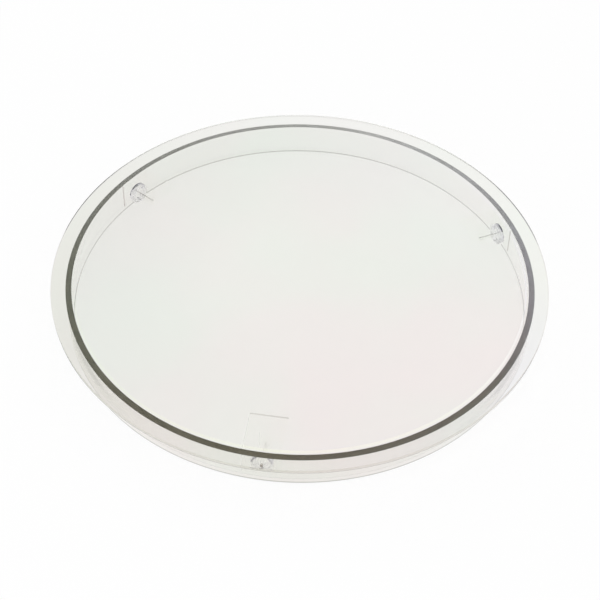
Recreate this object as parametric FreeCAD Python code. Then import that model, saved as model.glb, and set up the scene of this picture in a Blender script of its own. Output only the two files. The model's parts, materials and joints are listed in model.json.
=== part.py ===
import FreeCAD, Part
import math
import os

# A clear round turntable: a flat top with a bonded skirt that rides on three rollers over a base disc.
#
# Millimetres. +Z is up, the origin is on the table under the centre, and the top spins about Z.
# A roller station is built on the +X axis, where X runs outwards along the axle, and is then
# turned about Z to each of its places.

V = FreeCAD.Vector
X_AXIS = V(1, 0, 0)
Z_AXIS = V(0, 0, 1)
ORIGIN = V(0, 0, 0)

# Overall sizes
TOP_DIAMETER = 300.0
OVERALL_HEIGHT = 22.6

# Top plate and skirt
TOP_THICKNESS = 2.0
TOP_EDGE_RADIUS = 0.6
RIM_OVERHANG = 8.8
SKIRT_WALL = 3.0
SKIRT_FLOOR_GAP = 0.8
SKIRT_EDGE_RADIUS = 0.4

# Base disc
BASE_THICKNESS = 2.4
BASE_EDGE_RADIUS = 0.4
BASE_SIDE_GAP = 0.5

# Roller stations
STATION_COUNT = 3
FIRST_STATION_DEG = 22.0
ROLLER_WIDTH = 3.6
ROLLER_FLOOR_GAP = 0.2
ROLLER_HEADROOM = 3.8
TYRE_THICKNESS = 1.4
TYRE_CROWN = 0.3
TYRE_BEAD_WIDTH = 1.6
TYRE_BEAD_DEPTH = 0.5

# Roller hub
HUB_BOSS_RADIUS = 2.0
HUB_RIM_THICKNESS = 0.8
HUB_WEB_THICKNESS = 1.4
HUB_HOLE_COUNT = 4
HUB_HOLE_SHARE = 0.7

# Bracket
BRACKET_WIDTH = 21.8
BRACKET_REACH = 26.8
BRACKET_TOP_THICKNESS = 1.2
BRACKET_BACK_THICKNESS = 1.0
BRACKET_BASE_GAP = 0.5
BOND_LINE = 0.15
LAND_RADIUS = 2.6
LAND_HEIGHT = 0.3
LUG_WIDTH = 7.0
LUG_THICKNESS = 1.4

# Axle and what is on it
AXLE_DIAMETER = 1.6
AXLE_CLEARANCE = 0.05
AXLE_SPAN = 12.2
AXLE_WALL_GAP = 0.2
AXLE_TAIL = 0.6
WASHER_RADIUS = 2.2
WASHER_THICKNESS = 0.3
SPACER_RADIUS = 1.4
CLIP_RADIUS = 2.2
CLIP_THICKNESS = 0.8
END_PLAY = 0.1

# Worked out from the values above
top_radius = TOP_DIAMETER / 2
top_underside = OVERALL_HEIGHT - TOP_THICKNESS
skirt_outer = top_radius - RIM_OVERHANG
skirt_inner = skirt_outer - SKIRT_WALL
base_radius = skirt_inner - BASE_SIDE_GAP
bracket_underside = top_underside - BRACKET_TOP_THICKNESS
roller_low = BASE_THICKNESS + ROLLER_FLOOR_GAP
roller_radius = (bracket_underside - ROLLER_HEADROOM - roller_low) / 2
axle_height = roller_low + roller_radius
axle_radius = AXLE_DIAMETER / 2
running_radius = axle_radius + AXLE_CLEARANCE

# Places along the axle, from the wall inwards
bonded_face = skirt_inner - BOND_LINE
back_face = bonded_face - BRACKET_BACK_THICKNESS
land_face = back_face - LAND_HEIGHT
roller_outer_face = land_face - END_PLAY - WASHER_THICKNESS - END_PLAY
roller_inner_face = roller_outer_face - ROLLER_WIDTH
lug_outer_face = land_face - AXLE_SPAN
lug_inner_face = lug_outer_face - LUG_THICKNESS
clip_inner_face = lug_inner_face - CLIP_THICKNESS
bracket_inner_edge = skirt_inner - BRACKET_REACH


def rounded_disc(radius, bottom, thickness, edge_radius):
    """A flat disc about Z with both of its rim edges rounded."""
    disc = Part.makeCylinder(radius, thickness, V(0, 0, bottom), Z_AXIS)
    rims = [e for e in disc.Edges if isinstance(e.Curve, Part.Circle)]
    return disc.makeFillet(edge_radius, rims)


def ring(outer, inner, bottom, thickness):
    """A plain ring about Z."""
    outside = Part.makeCylinder(outer, thickness, V(0, 0, bottom), Z_AXIS)
    return outside.cut(Part.makeCylinder(inner, thickness, V(0, 0, bottom), Z_AXIS))


def on_axle(radius, outer_face, inner_face):
    """A cylinder along the axle between two places on it."""
    start = V(inner_face, 0, axle_height)
    return Part.makeCylinder(radius, outer_face - inner_face, start, X_AXIS)


def sleeve(radius, bore, outer_face, inner_face):
    """A tube along the axle between two places on it."""
    return on_axle(radius, outer_face, inner_face).cut(on_axle(bore, outer_face, inner_face))


def turned(points):
    """The solid swept by a closed outline of (place along the axle, radius) points."""
    corners = [V(x, 0, axle_height + radius) for x, radius in points]
    face = Part.Face(Part.makePolygon(corners + corners[:1]))
    return face.revolve(V(0, 0, axle_height), X_AXIS, 360)


def top_plate():
    """The flat round top, whose rim stands out past the skirt."""
    return rounded_disc(top_radius, top_underside, TOP_THICKNESS, TOP_EDGE_RADIUS)


def skirt_ring():
    """The wall bonded under the top, open below, with its lower edges rounded."""
    wall = ring(skirt_outer, skirt_inner, SKIRT_FLOOR_GAP, top_underside - SKIRT_FLOOR_GAP)
    low = [
        e
        for e in wall.Edges
        if e.BoundBox.ZMax < SKIRT_FLOOR_GAP + SKIRT_EDGE_RADIUS
    ]
    return wall.makeFillet(min(SKIRT_EDGE_RADIUS, SKIRT_WALL / 3), low)


def base_disc():
    """The disc that lies on the table, inside the skirt, and carries the rollers."""
    return rounded_disc(base_radius, 0, BASE_THICKNESS, BASE_EDGE_RADIUS)


def roller_bracket():
    """A leaf under the top, a curved back on the skirt's wall and a lug for the axle's inner end."""
    leaf_box = Part.makeBox(
        BRACKET_REACH,
        BRACKET_WIDTH,
        BRACKET_TOP_THICKNESS,
        V(bracket_inner_edge, -BRACKET_WIDTH / 2, bracket_underside),
    )
    leaf = leaf_box.common(Part.makeCylinder(bonded_face, OVERALL_HEIGHT))
    back_low = BASE_THICKNESS + BRACKET_BASE_GAP
    back_height = bracket_underside - back_low
    back_box = Part.makeBox(
        BRACKET_REACH,
        BRACKET_WIDTH,
        back_height,
        V(bracket_inner_edge, -BRACKET_WIDTH / 2, back_low),
    )
    back = back_box.common(ring(bonded_face, back_face, back_low, back_height))
    land = on_axle(LAND_RADIUS, back_face + BRACKET_BACK_THICKNESS / 2, land_face)
    lug_end = on_axle(LUG_WIDTH / 2, lug_outer_face, lug_inner_face)
    lug_web = Part.makeBox(
        LUG_THICKNESS,
        LUG_WIDTH,
        bracket_underside - axle_height,
        V(lug_inner_face, -LUG_WIDTH / 2, axle_height),
    )
    body = leaf.fuse([back, land, lug_end, lug_web]).removeSplitter()
    return body.cut(on_axle(axle_radius, skirt_inner, lug_inner_face))


def axle_pin():
    """The fixed pin that the roller turns on, from the bracket's back to past its lug."""
    return on_axle(axle_radius, skirt_inner - AXLE_WALL_GAP, clip_inner_face - AXLE_TAIL)


def outer_washer():
    """The thin washer between the bracket's land and the roller."""
    face = land_face - END_PLAY
    return sleeve(WASHER_RADIUS, running_radius, face, face - WASHER_THICKNESS)


def axle_spacer():
    """The tube that keeps the roller near the wall, from the roller to the lug."""
    return sleeve(
        SPACER_RADIUS, running_radius, roller_inner_face - END_PLAY, lug_outer_face + END_PLAY
    )


def axle_clip():
    """The push-on clip that holds the pin in the lug."""
    return sleeve(CLIP_RADIUS, axle_radius, lug_inner_face, clip_inner_face)


def roller_hub():
    """The wheel's hard centre: a boss, a thin web with round holes and a rim."""
    middle = (roller_outer_face + roller_inner_face) / 2
    rim_outer = roller_radius - TYRE_THICKNESS
    rim_inner = rim_outer - HUB_RIM_THICKNESS
    web = HUB_WEB_THICKNESS / 2
    bead = TYRE_BEAD_WIDTH / 2
    hub = turned(
        [
            (roller_inner_face, running_radius),
            (roller_inner_face, HUB_BOSS_RADIUS),
            (middle - web, HUB_BOSS_RADIUS),
            (middle - web, rim_inner),
            (roller_inner_face, rim_inner),
            (roller_inner_face, rim_outer),
            (middle - bead, rim_outer),
            (middle - bead, rim_outer + TYRE_BEAD_DEPTH),
            (middle + bead, rim_outer + TYRE_BEAD_DEPTH),
            (middle + bead, rim_outer),
            (roller_outer_face, rim_outer),
            (roller_outer_face, rim_inner),
            (middle + web, rim_inner),
            (middle + web, HUB_BOSS_RADIUS),
            (roller_outer_face, HUB_BOSS_RADIUS),
            (roller_outer_face, running_radius),
        ]
    )
    hole_place = (HUB_BOSS_RADIUS + rim_inner) / 2
    hole_radius = (rim_inner - HUB_BOSS_RADIUS) / 2 * HUB_HOLE_SHARE
    for number in range(HUB_HOLE_COUNT):
        angle = 2 * math.pi * number / HUB_HOLE_COUNT
        centre = V(
            middle - web,
            hole_place * math.cos(angle),
            axle_height + hole_place * math.sin(angle),
        )
        hub = hub.cut(Part.makeCylinder(hole_radius, HUB_WEB_THICKNESS, centre, X_AXIS))
    return hub


def roller_tyre():
    """The soft tyre that grips the hub's bead and rolls on the base disc."""
    middle = (roller_outer_face + roller_inner_face) / 2
    seat = roller_radius - TYRE_THICKNESS
    bead = TYRE_BEAD_WIDTH / 2
    return turned(
        [
            (roller_inner_face, seat),
            (roller_inner_face, roller_radius - TYRE_CROWN),
            (roller_inner_face + TYRE_CROWN, roller_radius),
            (roller_outer_face - TYRE_CROWN, roller_radius),
            (roller_outer_face, roller_radius - TYRE_CROWN),
            (roller_outer_face, seat),
            (middle + bead, seat),
            (middle + bead, seat + TYRE_BEAD_DEPTH),
            (middle - bead, seat + TYRE_BEAD_DEPTH),
            (middle - bead, seat),
        ]
    )


def write(shape, node):
    """One STEP file for one node."""
    shape.exportStep("parts/" + node + ".step")
    size = shape.BoundBox
    print(
        "%-18s solids %d valid %s z %.2f to %.2f"
        % (node, len(shape.Solids), shape.isValid(), size.ZMin, size.ZMax)
    )


def main():
    os.makedirs("parts", exist_ok=True)
    write(top_plate(), "top_plate")
    write(skirt_ring(), "skirt_ring")
    write(base_disc(), "base_disc")
    station = {
        "roller_bracket": roller_bracket(),
        "axle_pin": axle_pin(),
        "outer_washer": outer_washer(),
        "roller_hub": roller_hub(),
        "roller_tyre": roller_tyre(),
        "axle_spacer": axle_spacer(),
        "axle_clip": axle_clip(),
    }
    for number in range(STATION_COUNT):
        angle = FIRST_STATION_DEG + number * 360 / STATION_COUNT
        for name, shape in station.items():
            placed = shape.copy()
            placed.rotate(ORIGIN, Z_AXIS, angle)
            write(placed, "%s_%d" % (name, number + 1))
    roller_place = (roller_outer_face + roller_inner_face) / 2
    print("roller radius %.3f, at %.3f, axle %.3f high" % (roller_radius, roller_place, axle_height))


main()
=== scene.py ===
import json
import math

import bmesh
import bpy
from mathutils import Matrix, Vector


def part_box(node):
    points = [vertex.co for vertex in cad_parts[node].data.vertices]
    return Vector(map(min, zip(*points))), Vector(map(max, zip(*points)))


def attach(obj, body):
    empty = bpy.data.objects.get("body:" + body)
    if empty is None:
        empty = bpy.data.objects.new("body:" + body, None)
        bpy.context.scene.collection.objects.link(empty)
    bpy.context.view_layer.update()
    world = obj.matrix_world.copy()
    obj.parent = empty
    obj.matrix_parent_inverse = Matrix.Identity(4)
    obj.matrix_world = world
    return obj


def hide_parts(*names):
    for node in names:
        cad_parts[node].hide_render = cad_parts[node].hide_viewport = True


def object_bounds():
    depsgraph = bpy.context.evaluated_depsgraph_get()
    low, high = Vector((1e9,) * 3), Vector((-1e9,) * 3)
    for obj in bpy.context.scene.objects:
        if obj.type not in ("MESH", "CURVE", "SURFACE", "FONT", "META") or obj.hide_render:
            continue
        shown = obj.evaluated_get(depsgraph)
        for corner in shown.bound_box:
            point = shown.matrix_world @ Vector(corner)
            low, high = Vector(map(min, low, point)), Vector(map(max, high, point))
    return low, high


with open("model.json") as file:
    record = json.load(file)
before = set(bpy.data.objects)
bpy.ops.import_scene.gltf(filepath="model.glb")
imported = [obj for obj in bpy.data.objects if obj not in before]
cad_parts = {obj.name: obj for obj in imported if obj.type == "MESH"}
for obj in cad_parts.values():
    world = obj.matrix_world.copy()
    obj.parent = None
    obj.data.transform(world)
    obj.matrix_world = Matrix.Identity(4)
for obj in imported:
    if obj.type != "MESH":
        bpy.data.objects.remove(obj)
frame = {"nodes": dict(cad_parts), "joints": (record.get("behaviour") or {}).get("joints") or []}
cadLow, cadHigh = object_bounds()  # the CAD model's own box
nodes = frame["nodes"]
joints = {joint["name"]: joint for joint in frame["joints"]}
scene = bpy.context.scene
mm = 0.001
print("frame loaded:", len(nodes), "nodes")


# how near the middle axis a node comes, and how far out it reaches
def reach(node):
    distances = [corner.co.xy.length for corner in nodes[node].data.vertices]
    return min(distances), max(distances)


# the turn about Z at which a roller's axle points outwards
def axleTurn(number):
    axle = joints["roller_spin_%d" % number]["axis"]
    return math.atan2(axle[1], axle[0])


# where a node of the first station starts and ends along its axle
def alongAxle(node):
    turn = axleTurn(1)
    outwards = Vector((math.cos(turn), math.sin(turn), 0))
    places = [corner.co.dot(outwards) for corner in nodes[node].data.vertices]
    return min(places), max(places)


rim = reach("top_plate")[1]
skirtInner, skirtOuter = reach("skirt_ring")
baseRim = reach("base_disc")[1]
leafEnd = alongAxle("roller_bracket_1")[0]
rollerSide = alongAxle("roller_tyre_1")[1]
pinLow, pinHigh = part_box("axle_pin_1")
axleHeight = (pinLow.z + pinHigh.z) / 2


# shader maths: a Socket wraps one output, and the operators add Math nodes
class Socket:
    def __init__(self, paint, output):
        self.paint = paint
        self.output = output

    def math(self, operation, *others):
        values = {number: value for number, value in enumerate((self, *others))}
        return self.paint.add("ShaderNodeMath", {"operation": operation}, values)

    def __add__(self, other):
        return self.math("ADD", other)

    def __sub__(self, other):
        return self.math("SUBTRACT", other)

    def __rsub__(self, other):
        return self.paint.number(other).math("SUBTRACT", self)

    def __mul__(self, other):
        return self.math("MULTIPLY", other)

    def __truediv__(self, other):
        return self.math("DIVIDE", other)

    def __pow__(self, other):
        return self.math("POWER", other)

    __radd__ = __add__
    __rmul__ = __mul__


class Paint:
    def __init__(self, name, tree=None):
        self.material = None
        if tree is None:
            self.material = bpy.data.materials.new(name)
            self.material.use_nodes = True
            tree = self.material.node_tree
        self.tree = tree
        self.tree.nodes.clear()

    # one node: its type, its settings, then the values or links of its sockets
    def add(self, kind, settings=None, sockets=None, out=0):
        node = self.tree.nodes.new(kind)
        for key, value in (settings or {}).items():
            if key == "stops":
                ramp = node.color_ramp
                while len(ramp.elements) < len(value):
                    ramp.elements.new(0.5)
                for element, (place, colour) in zip(ramp.elements, value):
                    element.position = place
                    element.color = (*colour, 1)
            else:
                setattr(node, key, value)
        for key, value in (sockets or {}).items():
            if isinstance(value, Socket):
                self.tree.links.new(value.output, node.inputs[key])
            elif isinstance(value, tuple) and node.inputs[key].type == "RGBA":
                node.inputs[key].default_value = (*value, 1)
            else:
                node.inputs[key].default_value = value
        return Socket(self, node.outputs[out]) if len(node.outputs) else node

    def number(self, value):
        node = self.add("ShaderNodeValue")
        node.output.default_value = value
        return node

    # 0 below low, 1 above high, smooth between
    def step(self, value, low, high):
        sockets = {"Value": value, "From Min": low, "From Max": high}
        return self.add("ShaderNodeMapRange", {"interpolation_type": "SMOOTHSTEP"}, sockets)

    def mix(self, factor, first, second, blend="MIX"):
        settings = {"data_type": "RGBA", "blend_type": blend}
        return self.add("ShaderNodeMix", settings, {0: factor, 6: first, 7: second}, out=2)

    def noise(self, place, scale, detail=2.0):
        sockets = {"Vector": place, "Scale": scale, "Detail": detail}
        return self.add("ShaderNodeTexNoise", None, sockets)

    # a colour stays as it is, and a list of stops becomes a ramp
    def tone(self, tint, turn):
        if isinstance(tint, tuple):
            return tint
        return self.add("ShaderNodeValToRGB", {"stops": tint}, {0: turn})

    # Object coordinates, and the distance and turn about Z that come from them
    def places(self):
        here = self.add("ShaderNodeTexCoord", out="Object")
        split = self.add("ShaderNodeSeparateXYZ", None, {0: here}).output.node.outputs
        across, along, height = (Socket(self, output) for output in split)
        radius = (across * across + along * along) ** 0.5
        turn = along.math("ARCTAN2", across) / (2 * math.pi) + 0.5
        return here, radius, turn, height

    # a body whose shadow is a light tint, so that lamps reach what lies under it
    def clearOf(self, body, shadowTint):
        lamps = self.add("ShaderNodeBsdfTransparent", None, {"Color": shadowTint})
        shadow = self.add("ShaderNodeLightPath", out="Is Shadow Ray")
        return self.add("ShaderNodeMixShader", None, {0: shadow, 1: body, 2: lamps})

    # 1 where the eye, a reflection or clear plastic looks straight at the surface
    def looked(self):
        path = self.add("ShaderNodeLightPath").output.node.outputs
        looked = Socket(self, path["Is Camera Ray"])
        for kind in ("Is Glossy Ray", "Is Transmission Ray"):
            looked = looked.math("MAXIMUM", Socket(self, path[kind]))
        return looked

    def finish(self, shader):
        self.add("ShaderNodeOutputMaterial", None, {"Surface": shader})
        return self.material


# what the clear pieces share: cloudy tints, a little haze and faint scratches
clearLook = {
    "cloudScale": 9.0,
    "cloudFrom": 0.35,
    "cloudTo": 0.65,
    "cloudTint": 0.985,
    "hazeScale": 160.0,
    "hazeDetail": 3.0,
    "hazeFrom": 0.5,
    "hazeTo": 0.8,
    "hazeMost": 0.03,
    "scratchScale": 14.0,
    "scratchWidth": 0.004,
    "patchScale": 30.0,  # the scratches come in patches
    "patchFrom": 0.55,
    "patchTo": 0.7,
    "scratchStrength": 0.04,
    "scratchDepth": 0.2 * mm,
    "shadow": (0.97, 0.97, 0.97),
}

# tints are what two faces let through, and where they change round the axis they are painted shade
# and painted reflection of the surroundings; stops go round from the left by the front, right and
# back
# painted shade and painted reflection: the inner sheet is darker on the left and towards the back
# left
innerShadeStops = [
    (0.0, (0.850, 0.860, 0.833)),
    (0.25, (0.905, 0.864, 0.853)),
    (0.42, (0.918, 0.882, 0.870)),
    (0.5, (0.893, 0.889, 0.868)),
    (0.58, (0.896, 0.903, 0.880)),
    (0.67, (0.876, 0.890, 0.869)),
    (0.83, (0.852, 0.863, 0.832)),
    (1.0, (0.850, 0.860, 0.833)),
]
# painted highlight and painted shade: a band inside the skirt, pale cream at the front and darker
# on the left
besideSkirtHighlightStops = [
    (0.0, (0.850, 0.860, 0.825)),
    (0.12, (0.90, 0.91, 0.83)),
    (0.25, (0.995, 0.965, 0.87)),
    (0.4, (0.97, 0.96, 0.93)),
    (0.5, (0.93, 0.925, 0.945)),
    (0.75, (0.905, 0.910, 0.895)),
    (1.0, (0.850, 0.860, 0.825)),
]
# painted shade and painted reflection: the flange is darker on the left and lightest at the front
flangeShadeStops = [
    (0.0, (0.822, 0.828, 0.780)),
    (0.083, (0.815, 0.79, 0.76)),
    (0.167, (0.94, 0.92, 0.92)),
    (0.25, (0.98, 0.965, 0.97)),
    (0.417, (0.89, 0.897, 0.905)),
    (0.5, (0.898, 0.920, 0.878)),
    (0.75, (0.905, 0.910, 0.89)),
    (1.0, (0.822, 0.828, 0.780)),
]
# painted shade: the sheet's rounded rim is darker at the front and the back
rimShadeStops = [
    (0.0, (0.84, 0.83, 0.81)),
    (0.25, (0.73, 0.71, 0.67)),
    (0.5, (0.86, 0.86, 0.83)),
    (0.75, (0.72, 0.72, 0.70)),
    (1.0, (0.84, 0.83, 0.81)),
]
topLook = {
    "ior": 1.25,
    "tint": (0.905, 0.890, 0.868),
    # the stops of these zones are painted shade, painted highlight and painted reflection round
    # the axis
    "zones": [  # between these distances from the middle the tint goes over to the next
        (30 * mm, 125 * mm, innerShadeStops),
        (skirtInner - 2.5 * mm, skirtInner - 2.2 * mm, besideSkirtHighlightStops),
        (skirtInner - 1.4 * mm, skirtInner - 1.1 * mm, innerShadeStops),
        (skirtOuter - 0.7 * mm, skirtOuter + 0.3 * mm, flangeShadeStops),
        (rim - 0.8 * mm, rim - 0.2 * mm, rimShadeStops),
    ],
}

# painted shade: the wall is darker towards the front
wallShadeStops = [
    (0.0, (0.95, 0.955, 0.945)),
    (0.12, (0.90, 0.88, 0.86)),
    (0.25, (0.870, 0.835, 0.81)),
    (0.38, (0.90, 0.89, 0.87)),
    (0.5, (0.96, 0.965, 0.965)),
    (0.75, (0.955, 0.970, 0.958)),
    (1.0, (0.95, 0.955, 0.945)),
]
# painted shade: a dark line along the wall's lower outer edge, darkest at the front
lowEdgeShadeStops = [
    (0.0, (0.9, 0.9, 0.9)),
    (0.12, (0.60, 0.60, 0.58)),
    (0.25, (0.50, 0.49, 0.46)),
    (0.38, (0.60, 0.60, 0.58)),
    (0.5, (0.95, 0.95, 0.95)),
    (1.0, (0.9, 0.9, 0.9)),
]
wallLook = {
    "ior": 1.08,
    "tint": wallShadeStops,
    # a line of painted shade lies round the axis: its distance, its height, how wide it is, its
    # stops
    "lines": [(skirtOuter, 0.6 * mm, 1.2 * mm, lowEdgeShadeStops)],
}

# painted shade: a dark line round the base's rim, pale only at the front
baseRimShadeStops = [
    (0.0, (0.50, 0.50, 0.47)),
    (0.1, (0.9, 0.9, 0.9)),
    (0.4, (0.9, 0.9, 0.9)),
    (0.5, (0.55, 0.55, 0.55)),
    (0.75, (0.42, 0.42, 0.40)),
    (1.0, (0.50, 0.50, 0.47)),
]
baseLook = {
    "ior": 1.03,
    "tint": (0.979, 0.985, 0.982),
    "lines": [(baseRim, 0.4 * mm, 0.6 * mm, baseRimShadeStops)],
}

# the marked faces of a bracket are its leaf's inner end and its two sides, which get painted shade
# at some stations
leafShadeStops = [
    (0.19, (0.97, 0.97, 0.97)),
    (0.2, (0.60, 0.58, 0.56)),
    (0.25, (0.60, 0.58, 0.56)),
    (0.26, (0.97, 0.97, 0.97)),
]
sideShadeStops = [
    (0.535, (0.95, 0.95, 0.95)),
    (0.543, (0.60, 0.58, 0.56)),
    (0.553, (0.60, 0.58, 0.56)),
    (0.561, (0.95, 0.95, 0.95)),
    (0.893, (0.95, 0.95, 0.95)),
    (0.902, (0.52, 0.46, 0.46)),
    (0.912, (0.52, 0.46, 0.46)),
    (0.920, (0.95, 0.95, 0.95)),
]
mouldedLook = {
    "ior": 1.01,
    "tint": (0.995, 0.995, 0.992),
    "cloudScale": 40.0,
    "cloudTint": 0.995,
    "leafTo": leafEnd + 1.8 * mm,
    "sideFrom": skirtInner - 2.2 * mm,
    "fade": 1 * mm,
    "leafShadeStops": leafShadeStops,
    "sideShadeStops": sideShadeStops,
}

# painted shade: a pin's upper side is dark except at the front
ridgeShadeStops = [
    (0.20, (0.62, 0.61, 0.60)),
    (0.21, (0.97, 0.97, 0.97)),
    (0.24, (0.97, 0.97, 0.97)),
    (0.25, (0.50, 0.49, 0.48)),
    (0.70, (0.50, 0.49, 0.48)),
    (0.80, (0.45, 0.44, 0.43)),
]
# painted shade: a dark speck at the pin's end by the wall, at the front only
endShadeStops = [
    (0.20, (0.98, 0.98, 0.98)),
    (0.21, (0.46, 0.43, 0.39)),
    (0.24, (0.46, 0.43, 0.39)),
    (0.25, (0.98, 0.98, 0.98)),
]
pinLook = {
    "ior": 1.03,
    "tint": (0.98, 0.98, 0.975),
    "cloudScale": 300.0,
    "cloudTint": 0.996,
    "ridgeFrom": axleHeight + 0.62 * mm,  # painted shade: a pin is darker along its upper side
    "ridgeTo": axleHeight + 0.74 * mm,
    "ridgeShadeStops": ridgeShadeStops,
    "endFrom": skirtInner - 1.6 * mm,  # and painted shade at its end by the wall
    "endFade": 0.2 * mm,
    "endShadeStops": endShadeStops,
}
clipLook = {"ior": 1.02, "tint": (0.998, 0.998, 0.998), "cloudScale": 300.0, "cloudTint": 0.998}
hubLook = {"ior": 1.06, "tint": (0.992, 0.991, 1.0), "cloudScale": 300.0, "cloudTint": 0.998}


# clear plastic: the tint goes by zones and thin lines round the axis; stops that change round the
# axis paint shade, highlights and reflections
def clearPlastic(name, ownLook):
    look = {**clearLook, **ownLook}
    paint = Paint(name)
    here, radius, turn, height = paint.places()
    colour = paint.tone(look["tint"], turn)
    for low, high, stops in look.get("zones", ()):
        colour = paint.mix(paint.step(radius, low, high), colour, paint.tone(stops, turn))
    # thin lines of painted shade round the axis
    for lineRadius, lineHeight, width, stops in look.get("lines", ()):
        across = radius - lineRadius
        up = height - lineHeight
        away = (across * across + up * up) ** 0.5
        near = 1 - paint.step(away, width / 2, width)
        colour = paint.mix(near, colour, paint.tone(stops, turn))
    if "leafShadeStops" in look:
        # painted shade on a bracket's marked faces at some stations
        marked = paint.add("ShaderNodeAttribute", {"attribute_name": "edgeTone"}, None, "Fac")
        leaf = 1 - paint.step(radius, look["leafTo"] - look["fade"], look["leafTo"])
        side = paint.step(radius, look["sideFrom"], look["sideFrom"] + look["fade"])
        colour = paint.mix(marked * leaf, colour, paint.tone(look["leafShadeStops"], turn))
        colour = paint.mix(marked * side, colour, paint.tone(look["sideShadeStops"], turn))
    # painted shade along a pin's upper side and at its end
    if "ridgeShadeStops" in look:
        ridge = paint.step(height, look["ridgeFrom"], look["ridgeTo"])
        end = paint.step(radius, look["endFrom"], look["endFrom"] + look["endFade"])
        colour = paint.mix(ridge, colour, paint.tone(look["ridgeShadeStops"], turn))
        colour = paint.mix(end, colour, paint.tone(look["endShadeStops"], turn))
    cloud = paint.noise(here, look["cloudScale"])
    cloud = paint.step(cloud, look["cloudFrom"], look["cloudTo"])
    dim = look["cloudTint"]
    colour = paint.mix(1.0, colour, paint.mix(cloud, (dim, 1.0, dim), (1.0, dim, dim)), "MULTIPLY")
    haze = paint.noise(here, look["hazeScale"], look["hazeDetail"])
    haze = paint.step(haze, look["hazeFrom"], look["hazeTo"]) * look["hazeMost"]
    sockets = {"Vector": here, "Scale": look["scratchScale"]}
    cracks = paint.add("ShaderNodeTexVoronoi", {"feature": "DISTANCE_TO_EDGE"}, sockets)
    patch = paint.step(paint.noise(here, look["patchScale"]), look["patchFrom"], look["patchTo"])
    scratch = (1 - paint.step(cracks, 0.0, look["scratchWidth"])) * patch
    sockets = {
        "Strength": look["scratchStrength"],
        "Distance": look["scratchDepth"],
        "Height": scratch,
    }
    bump = paint.add("ShaderNodeBump", None, sockets)
    sockets = {
        "Base Color": colour,
        "Roughness": haze,
        "IOR": look["ior"],
        "Transmission Weight": 1.0,
        "Normal": bump,
    }
    body = paint.add("ShaderNodeBsdfPrincipled", None, sockets)
    return paint.finish(paint.clearOf(body, look["shadow"]))


# painted shade: the ring is darkest at the front and lightest at the back
shadeRingLook = {
    "stops": [
        (0.0, (0.135, 0.138, 0.108)),
        (0.22, (0.104, 0.098, 0.064)),
        (0.40, (0.15, 0.15, 0.13)),
        (0.5, (0.32, 0.32, 0.37)),
        (0.70, (0.52, 0.52, 0.53)),
        (0.88, (0.28, 0.28, 0.27)),
        (1.0, (0.135, 0.138, 0.108)),
    ],
    "streakScale": 60.0,
    "streakFrom": 0.3,
    "streakTo": 0.8,
    "streakShare": 0.2,
    "streakTint": (0.20, 0.19, 0.15),
    "roughest": 0.5,
    "smoothest": 0.3,
    "gloss": 0.15,
}


# painted shade: a dark ring between the skirt's top end and the sheet above it, which stands for
# the shade seen down into the wall's top edge
def paintedShadeRing(name, look):
    paint = Paint(name)
    here, radius, turn, height = paint.places()
    streak = paint.noise(here, look["streakScale"])
    share = paint.step(streak, look["streakFrom"], look["streakTo"]) * look["streakShare"]
    sockets = {
        "Base Color": paint.mix(share, paint.tone(look["stops"], turn), look["streakTint"]),
        "Roughness": streak * (look["roughest"] - look["smoothest"]) + look["smoothest"],
        "Specular IOR Level": look["gloss"],
    }
    return paint.finish(paint.add("ShaderNodeBsdfPrincipled", None, sockets))


glowingUndersideLook = {
    "scale": 80.0,
    "light": (0.93, 0.94, 0.92),
    "dark": (0.86, 0.87, 0.85),
    "glow": 0.85,
}


# painted light: the dark ring's lower side glows, though it is no lamp, so that the inside of the
# wall looks lit
def paintedLightUnderside(name, look):
    paint = Paint(name)
    here = paint.places()[0]
    colour = paint.mix(paint.noise(here, look["scale"]), look["light"], look["dark"])
    sockets = {"Color": colour, "Strength": look["glow"]}
    return paint.finish(paint.add("ShaderNodeEmission", None, sockets))


softLook = {
    "pale": (0.99, 0.99, 1.0),
    "deep": (0.90, 0.89, 0.965),
    "mottleScale": 260.0,
    "mottleDetail": 3.0,
    "mottleFrom": 0.3,
    "mottleTo": 0.7,
    "smoothest": 0.15,
    "roughest": 0.45,
    "ior": 1.08,
    "through": 0.97,
    "shadow": (0.94, 0.94, 0.95),
    "clear": (0.99, 0.988, 1.0),  # below the axle and on the side away from the wall
    "clearFrom": 2.6 * mm,  # in from the side by the wall
    "clearTo": 0.6 * mm,
    "clearBelow": -3.0 * mm,  # from the axle's height
    "clearAbove": 1.0 * mm,
    "strokeFrom": 4.6 * mm,  # from the axle
    "strokeTo": 5.2 * mm,
    "strokeRise": 0.8 * mm,
    "strokeDepth": 1.2 * mm,
    "strokeFade": 0.8,
    "shadeStrokeStops": [  # painted shade: the front roller's is pale, and the others' fades towards the back
        (0.224, (0.30, 0.29, 0.31)),
        (0.230, (0.62, 0.61, 0.65)),
        (0.24, (0.62, 0.61, 0.65)),
        (0.25, (0.02, 0.018, 0.04)),
        (0.561, (0.02, 0.018, 0.04)),
        (0.567, (0.30, 0.29, 0.36)),
        (0.888, (0.45, 0.44, 0.50)),
        (0.894, (0.10, 0.10, 0.14)),
        (0.897, (0.02, 0.018, 0.04)),
    ],
}


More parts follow.
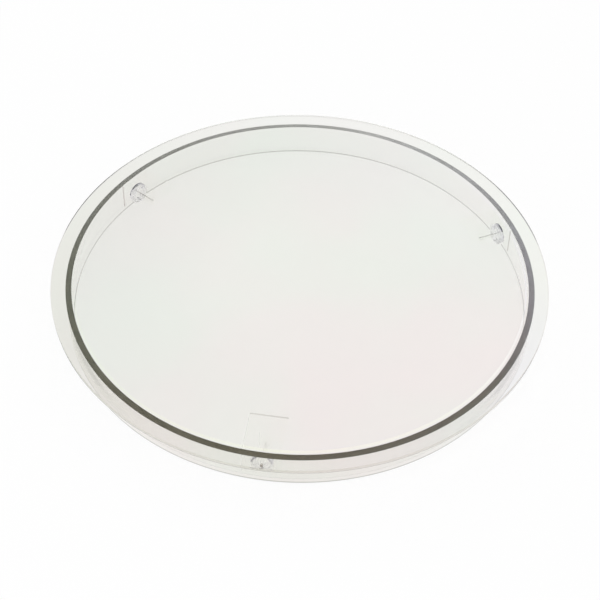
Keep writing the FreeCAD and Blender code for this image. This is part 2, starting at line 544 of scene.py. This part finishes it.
# hazy plastic of the tyres, with a dark arc of painted shade on the upper edge of the side by the
# wall
def hazyPlastic(name, look):
    paint = Paint(name)
    here, radius, turn, height = paint.places()
    mottle = paint.noise(here, look["mottleScale"], look["mottleDetail"])
    mottled = paint.step(mottle, look["mottleFrom"], look["mottleTo"])
    colour = paint.mix(mottled, look["pale"], look["deep"])
    up = height - axleHeight
    inward = 1 - paint.step(radius, rollerSide - look["clearFrom"], rollerSide - look["clearTo"])
    below = 1 - paint.step(up, look["clearBelow"], look["clearAbove"])
    colour = paint.mix(inward.math("MAXIMUM", below), colour, look["clear"])
    away = (radius * radius - rollerSide * rollerSide).math("MAXIMUM", 0) + up * up
    depth = look["strokeDepth"]
    # painted shade: a dark arc on the tyre's upper edge by the wall
    shadeArc = paint.step(away ** 0.5, look["strokeFrom"], look["strokeTo"])
    shadeArc = shadeArc * paint.step(up, 0.0, look["strokeRise"])
    shadeArc = shadeArc * paint.step(radius, rollerSide - depth, rollerSide - look["strokeFade"] * depth)
    sockets = {
        "Base Color": paint.mix(shadeArc, colour, paint.tone(look["shadeStrokeStops"], turn)),
        "Roughness": mottle * (look["roughest"] - look["smoothest"]) + look["smoothest"],
        "IOR": look["ior"],
        "Transmission Weight": look["through"],
    }
    body = paint.add("ShaderNodeBsdfPrincipled", None, sockets)
    return paint.finish(paint.clearOf(body, look["shadow"]))


# corners are (distance, height, rounding) going round the outline; rounded ones become arcs
def roundedOutline(corners, arcSteps=6):
    outline = []
    count = len(corners)
    for number, (x, z, rounding) in enumerate(corners):
        here = Vector((x, z))
        if rounding <= 0:
            outline.append(here)
            continue
        back = (Vector(corners[number - 1][:2]) - here).normalized()
        ahead = (Vector(corners[(number + 1) % count][:2]) - here).normalized()
        half = back.angle(ahead) / 2
        across = rounding / math.tan(half)
        centre = here + (back + ahead).normalized() * (rounding / math.sin(half))
        start = here + back * across - centre
        end = here + ahead * across - centre
        sweep = start.angle_signed(end)
        for step in range(arcSteps + 1):
            turn = Matrix.Rotation(-sweep * step / arcSteps, 2)
            outline.append(centre + turn @ start)
    return outline


# flat faces stay flat right up to their rounded edges
def evenNormals(piece):
    weighted = piece.modifiers.new("evenNormals", "WEIGHTED_NORMAL")
    weighted.weight = 100  # only the largest face at a corner counts
    weighted.keep_sharp = True


def addPiece(name, mesh):
    data = bpy.data.meshes.new(name)
    mesh.to_mesh(data)
    mesh.free()
    piece = bpy.data.objects.new(name, data)
    scene.collection.objects.link(piece)
    for face in data.polygons:
        face.use_smooth = True
    return piece


# a closed body swept round Z by an outline whose points on the axis become poles
def lathe(name, outline, segments, lean=(0, 0)):
    mesh = bmesh.new()
    rings = []
    for distance, height in outline:
        if distance == 0:
            rings.append([mesh.verts.new((0, 0, height))])
            continue
        ring = []
        for number in range(segments):
            angle = 2 * math.pi * number / segments
            across = distance * math.cos(angle) + lean[0]
            along = distance * math.sin(angle) + lean[1]
            ring.append(mesh.verts.new((across, along, height)))
        rings.append(ring)
    for first, second in zip(rings, rings[1:] + rings[:1]):
        if len(first) == 1 and len(second) == 1:
            continue
        for number in range(segments):
            after = (number + 1) % segments
            corners = [first[number % len(first)], first[after % len(first)]]
            corners += [second[after % len(second)], second[number % len(second)]]
            mesh.faces.new(list(dict.fromkeys(corners)))
    bmesh.ops.recalc_face_normals(mesh, faces=mesh.faces)
    piece = addPiece(name, mesh)
    evenNormals(piece)
    return piece


# a disc with a rounded rim, whose flats are split by rings at shares of its radius
def disc(name, node, radius, settings):
    low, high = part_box(node)
    flats = [share * radius for share in settings["ringShares"]]
    rounding = settings["rimRounding"]
    corners = [(distance, low.z, 0) for distance in flats]
    corners += [(radius, low.z, rounding), (radius, high.z, rounding)]
    corners += [(distance, high.z, 0) for distance in reversed(flats)]
    return lathe(name, roundedOutline(corners, settings["rimSteps"]), settings["segments"])


# the flat top
topSet = {
    "rimRounding": 0.6 * mm,
    "rimSteps": 8,
    "ringShares": (0.0, 0.35, 0.7),
    "segments": 360,
}


def buildTop(settings):
    piece = disc("clearTop", "top_plate", rim, settings)
    piece.data.materials.append(clearPlastic("clearSheet", topLook))
    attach(piece, "top")
    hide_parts("top_plate")


# the wall under the top, and a dark ring of painted shade between them, with a glowing underside
# of painted light
skirtSet = {
    "lowRounding": 0.2 * mm,
    "topSlope": 0.4 * mm,
    "shadeRingThickness": 0.05 * mm,
    "shadeRingInside": 0.25 * mm,  # how far the painted shade ring reaches past the wall
    "shadeRingOutside": 0.28 * mm,
    "shadeRingLean": (0.25 * mm, 0.42 * mm),  # the painted shade ring lies a little off the middle
    "shadeRingClear": 0.02 * mm,
    "wallClear": 0.08 * mm,
    "upward": 0.5,  # faces whose normals rise more than this are the ring's upper side of painted shade; the rest are its lower side of painted light
    "segments": 360,
}


def buildSkirt(settings):
    low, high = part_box("skirt_ring")
    slope = settings["topSlope"]
    rounding = settings["lowRounding"]
    shadeRingTop = high.z - settings["shadeRingClear"]
    shadeRingLow = shadeRingTop - settings["shadeRingThickness"]
    wallTop = shadeRingLow - settings["wallClear"]
    corners = [
        (skirtInner, low.z, rounding),
        (skirtOuter, low.z, rounding),
        (skirtOuter, wallTop - slope, 0),
        (skirtInner, wallTop, 0),
    ]
    wall = lathe("clearSkirt", roundedOutline(corners), settings["segments"])
    wall.data.materials.append(clearPlastic("clearWall", wallLook))
    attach(wall, "top")
    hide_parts("skirt_ring")
    near = skirtInner - settings["shadeRingInside"]
    far = skirtOuter + settings["shadeRingOutside"]
    corners = [
        (near, shadeRingLow, 0),
        (far, shadeRingLow - slope, 0),
        (far, shadeRingTop - slope, 0),
        (near, shadeRingTop, 0),
    ]
    shadeRing = lathe("shadeRingSheet", roundedOutline(corners), settings["segments"], settings["shadeRingLean"])
    # the ring's upper side is painted shade and its lower side glows as painted light
    shadeRing.data.materials.append(paintedShadeRing("paintedShadeRing", shadeRingLook))
    shadeRing.data.materials.append(paintedLightUnderside("paintedLightUnderside", glowingUndersideLook))
    for face in shadeRing.data.polygons:
        face.material_index = 0 if face.normal.z > settings["upward"] else 1
    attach(shadeRing, "top")


# the disc that the rollers run on
baseSet = {**topSet, "rimRounding": 0.4 * mm}


def buildBase(settings):
    piece = disc("clearBase", "base_disc", baseRim, settings)
    piece.data.materials.append(clearPlastic("clearBaseSheet", baseLook))
    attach(piece, "base")
    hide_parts("base_disc")


buildTop(topSet)
buildSkirt(skirtSet)
buildBase(baseSet)
print("top, skirt and base built")

# the roller stations: each kind of piece is taken once, bevelled, and set round the axis
stationSet = {
    "count": 3,
    "bevel": 0.12 * mm,
    "bevelSteps": 2,
    "bevelAngle": 40,  # degrees, for the edges sharper than this
    "weld": 0.002 * mm,
    "flatAngle": 0.5,  # degrees, for the facets that become one face
    "leafGap": 0.03 * mm,  # the cement between a bracket's leaf and the sheet above it
    "endNormal": -0.9,  # a face marked as the inner end looks inwards more than this
    "endDepth": 0.01 * mm,
    "sideNormal": 0.95,
}


# a welded copy of the first station's node, turned back to lie along +X
def takenFrom(node, name, settings, ceiling=None):
    mesh = bmesh.new()
    mesh.from_mesh(nodes[node].data)
    mesh.transform(Matrix.Rotation(-axleTurn(1), 4, "Z"))
    bmesh.ops.remove_doubles(mesh, verts=mesh.verts, dist=settings["weld"])
    flat = math.radians(settings["flatAngle"])
    bmesh.ops.dissolve_limit(mesh, angle_limit=flat, verts=mesh.verts, edges=mesh.edges)
    if ceiling is not None:
        for corner in mesh.verts:
            corner.co.z = min(corner.co.z, ceiling)
    piece = addPiece(name, mesh)
    bevel = piece.modifiers.new("softEdges", "BEVEL")
    bevel.width = settings["bevel"]
    bevel.segments = settings["bevelSteps"]
    bevel.limit_method = "ANGLE"
    bevel.angle_limit = math.radians(settings["bevelAngle"])
    # faces that get painted shade: a leaf's inner end and its sides
    marked = piece.data.attributes.new("edgeTone", "FLOAT", "FACE")
    inner = min(corner.co.x for corner in piece.data.vertices) + settings["endDepth"]
    for face in piece.data.polygons:
        end = face.normal.x < settings["endNormal"] and face.center.x < inner
        side = abs(face.normal.y) > settings["sideNormal"]
        marked.data[face.index].value = 1.0 if end or side else 0.0
    return piece


# Geometry Nodes: copies of the input set evenly round Z from a first angle
def roundTheAxis():
    tree = bpy.data.node_groups.new("roundTheAxis", "GeometryNodeTree")
    ends = tree.interface
    ends.new_socket("Geometry", in_out="INPUT", socket_type="NodeSocketGeometry")
    ends.new_socket("Count", in_out="INPUT", socket_type="NodeSocketInt")
    ends.new_socket("First Angle", in_out="INPUT", socket_type="NodeSocketFloat")
    ends.new_socket("Finish", in_out="INPUT", socket_type="NodeSocketMaterial")
    ends.new_socket("Geometry", in_out="OUTPUT", socket_type="NodeSocketGeometry")
    given = tree.nodes.new("NodeGroupInput").outputs
    points = tree.nodes.new("GeometryNodePoints")
    index = tree.nodes.new("GeometryNodeInputIndex")
    pitch = tree.nodes.new("ShaderNodeMath")
    pitch.operation = "DIVIDE"
    pitch.inputs[0].default_value = 2 * math.pi
    angle = tree.nodes.new("ShaderNodeMath")
    angle.operation = "MULTIPLY_ADD"
    turn = tree.nodes.new("ShaderNodeCombineXYZ")
    spread = tree.nodes.new("GeometryNodeInstanceOnPoints")
    real = tree.nodes.new("GeometryNodeRealizeInstances")
    finish = tree.nodes.new("GeometryNodeSetMaterial")
    result = tree.nodes.new("NodeGroupOutput").inputs
    for first, second in (
        (given["Count"], points.inputs["Count"]),
        (given["Count"], pitch.inputs[1]),
        (index.outputs[0], angle.inputs[0]),
        (pitch.outputs[0], angle.inputs[1]),
        (given["First Angle"], angle.inputs[2]),
        (angle.outputs[0], turn.inputs["Z"]),
        (points.outputs[0], spread.inputs["Points"]),
        (given["Geometry"], spread.inputs["Instance"]),
        (turn.outputs[0], spread.inputs["Rotation"]),
        (spread.outputs[0], real.inputs[0]),
        (real.outputs[0], finish.inputs["Geometry"]),
        (given["Finish"], finish.inputs["Material"]),
        (finish.outputs[0], result["Geometry"]),
    ):
        tree.links.new(first, second)
    return tree


stationTree = roundTheAxis()


# runs the tree on a piece, keeps the result as its plain mesh and takes the modifiers off
def setRound(piece, count, firstAngle, finish):
    spread = piece.modifiers.new("stations", "NODES")
    spread.node_group = stationTree
    values = {"Count": count, "First Angle": firstAngle, "Finish": finish}
    for item in stationTree.interface.items_tree:
        if item.in_out == "INPUT" and item.name in values:
            spread[item.identifier] = values[item.name]
    graph = bpy.context.evaluated_depsgraph_get()
    made = bpy.data.meshes.new_from_object(piece.evaluated_get(graph))
    piece.modifiers.clear()
    piece.data = made
    made.name = piece.name
    evenNormals(piece)


def buildStations(settings):
    count = settings["count"]
    numbers = range(1, count + 1)
    moulded = clearPlastic("clearMoulding", mouldedLook)
    pin = clearPlastic("clearPin", pinLook)
    hub = clearPlastic("clearHub", hubLook)
    clip = clearPlastic("clearClip", clipLook)
    tyre = hazyPlastic("hazyTyre", softLook)
    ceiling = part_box("top_plate")[0].z - settings["leafGap"]
    fixed = {
        "rollerBrackets": ("roller_bracket", moulded, "clear_moulding"),
        "axlePins": ("axle_pin", pin, "clear_pin"),
        "thrustWashers": ("outer_washer", hub, "natural_nylon"),
        "axleSpacers": ("axle_spacer", clip, "natural_nylon"),
        "pinClips": ("axle_clip", clip, "clear_pin"),
    }
    for name, (node, finish, slot) in fixed.items():
        piece = takenFrom(node + "_1", name, settings, ceiling)
        setRound(piece, count, axleTurn(1), finish)
        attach(piece, "top")
        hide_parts(*["%s_%d" % (node, number) for number in numbers])
    turning = {
        "wheelHub": ("roller_hub", hub, "clear_moulding"),
        "wheelTyre": ("roller_tyre", tyre, "soft_clear"),
    }
    for name, (node, finish, slot) in turning.items():
        for number in numbers:
            piece = takenFrom(node + "_1", "%s%d" % (name, number), settings)
            setRound(piece, 1, axleTurn(number), finish)
            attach(piece, "roller_%d" % number)
            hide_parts("%s_%d" % (node, number))


buildStations(stationSet)
print("roller stations built")

# floor, room and key light
stageSet = {
    "floorSize": 8.0,
    "floorDrop": 0.2 * mm,
    "floorLight": (0.95, 0.95, 0.95),
    "floorDark": (0.93, 0.93, 0.93),
    "toothScale": 90.0,
    "toothDetail": 3.0,
    "floorGlow": 0.9,
    "white": (1.0, 1.0, 1.0),
    "roomWhite": 1.0,
    "roomFill": 0.85,
    "keySize": 1.6,
    "keyPlace": Vector((-0.9, -0.4, 1.9)),
    "keyPower": 9.0,
}


def buildStage(settings):
    white = settings["white"]
    drop = (0, 0, -settings["floorDrop"])
    bpy.ops.mesh.primitive_plane_add(size=settings["floorSize"], location=drop)
    floor = bpy.context.object
    floor.name = "paleFloor"
    paint = Paint("floorPaper")
    here = paint.places()[0]
    tooth = paint.noise(here, settings["toothScale"], settings["toothDetail"])
    paper = paint.mix(tooth, settings["floorDark"], settings["floorLight"])
    plain = paint.add("ShaderNodeBsdfDiffuse", None, {"Color": paper})
    glow = paint.add("ShaderNodeEmission", None, {"Color": white, "Strength": 1.0})
    share = paint.looked() * settings["floorGlow"]
    shown = paint.add("ShaderNodeMixShader", None, {0: share, 1: plain, 2: glow})
    floor.data.materials.append(paint.finish(shown))

    world = bpy.data.worlds.new("softRoom")
    scene.world = world
    world.use_nodes = True
    sky = Paint("softRoom", world.node_tree)
    more = settings["roomWhite"] - settings["roomFill"]
    strength = sky.looked() * more + settings["roomFill"]
    room = sky.add("ShaderNodeBackground", None, {"Color": white, "Strength": strength})
    sky.add("ShaderNodeOutputWorld", None, {"Surface": room})

    data = bpy.data.lights.new("softKey", "AREA")
    data.shape = "DISK"
    data.size = settings["keySize"]
    data.energy = settings["keyPower"]
    key = bpy.data.objects.new("softKey", data)
    key.location = settings["keyPlace"]
    key.rotation_euler = (-settings["keyPlace"]).to_track_quat("-Z", "Y").to_euler()
    scene.collection.objects.link(key)


cameraSet = {
    "distance": 0.9,
    "elevation": 45.33,
    "roll": 1.07,
    "lens": 89.1,
    "sensor": 36,
    "shiftY": -0.0443,
    "aimBelow": 1 * mm,  # the camera aims at this depth under the top
}


def buildCamera(settings):
    data = bpy.data.cameras.new("camera")
    data.lens = settings["lens"]
    data.sensor_width = settings["sensor"]
    data.shift_y = settings["shiftY"]
    camera = bpy.data.objects.new("camera", data)
    rise = math.radians(settings["elevation"])
    back = Vector((0, -math.cos(rise), math.sin(rise)))
    aim = Vector((0, 0, cadHigh.z - settings["aimBelow"]))
    camera.location = aim + back * settings["distance"]
    look = (-back).to_track_quat("-Z", "Y").to_matrix()
    roll = Matrix.Rotation(math.radians(settings["roll"]), 3, "Z")
    camera.rotation_euler = (look @ roll).to_euler()
    scene.collection.objects.link(camera)
    scene.camera = camera


buildStage(stageSet)
buildCamera(cameraSet)
scene.view_settings.view_transform = "Standard"
rayBounces = 48  # a ray by a roller passes some two dozen clear faces
for limit in ("max_bounces", "transmission_bounces", "transparent_max_bounces"):
    setattr(scene.cycles, limit, rayBounces)
print("stage and camera set")
